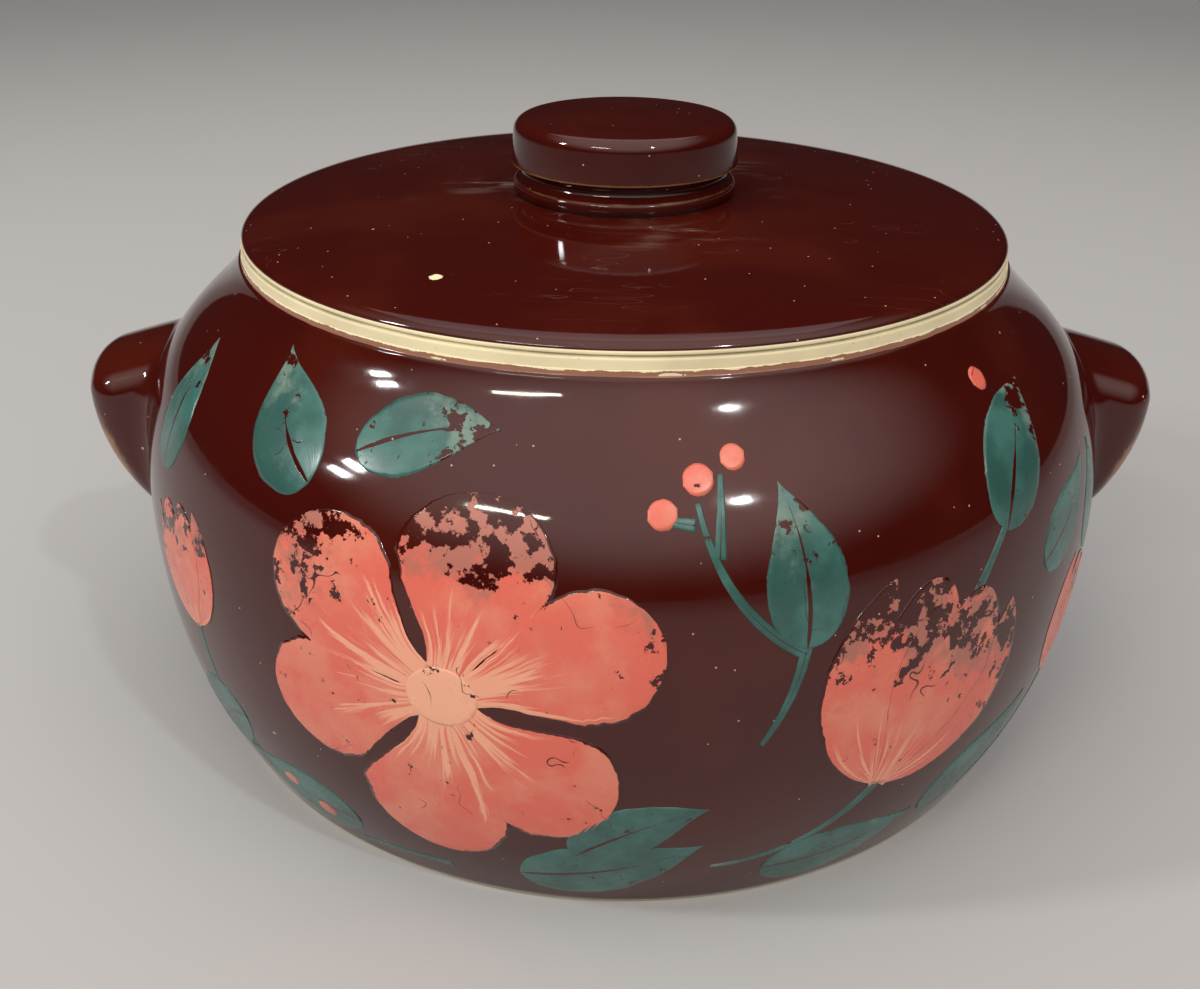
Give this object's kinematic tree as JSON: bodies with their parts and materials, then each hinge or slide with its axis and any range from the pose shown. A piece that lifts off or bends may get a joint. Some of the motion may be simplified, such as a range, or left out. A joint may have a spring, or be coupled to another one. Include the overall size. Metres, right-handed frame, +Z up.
{
  "type": "stoneware bean pot",
  "caption": "Round-bellied covered stoneware pot with solid lug handles and a lift-off domed lid with a flat round knob; dark brown glaze over a bare buff rim.",
  "frame": {"origin": "centre of the foot ring, on the surface the pot stands on", "axes": "+Z up along the pot's axis and the way the lid lifts, X through the two lug handles, -Y towards the painted front"},
  "size_m": [0.2552, 0.2254, 0.1383],
  "materials": {
    "glaze": "deep, dark red-brown glossy glaze on stoneware, breaking to amber on edges",
    "bare_clay": "unglazed buff stoneware at the rim, the lid's edge and the foot ring",
    "petal_paint": "cold-painted coral decoration over the glaze, brushed and worn",
    "leaf_paint": "cold-painted blue-green decoration over the glaze, brushed and worn"
  },
  "bodies": {
    "pot": {"pot_body": "glaze", "left_lug": "glaze", "right_lug": "glaze"},
    "lid": {"lid": "glaze", "lid_knob": "glaze"}
  },
  "joints": [
    {"name": "lid_lift", "type": "slide", "parent": "pot", "child": "lid", "axis": [0, 0, 1], "range_m": [0, 0.12]}
  ]
}
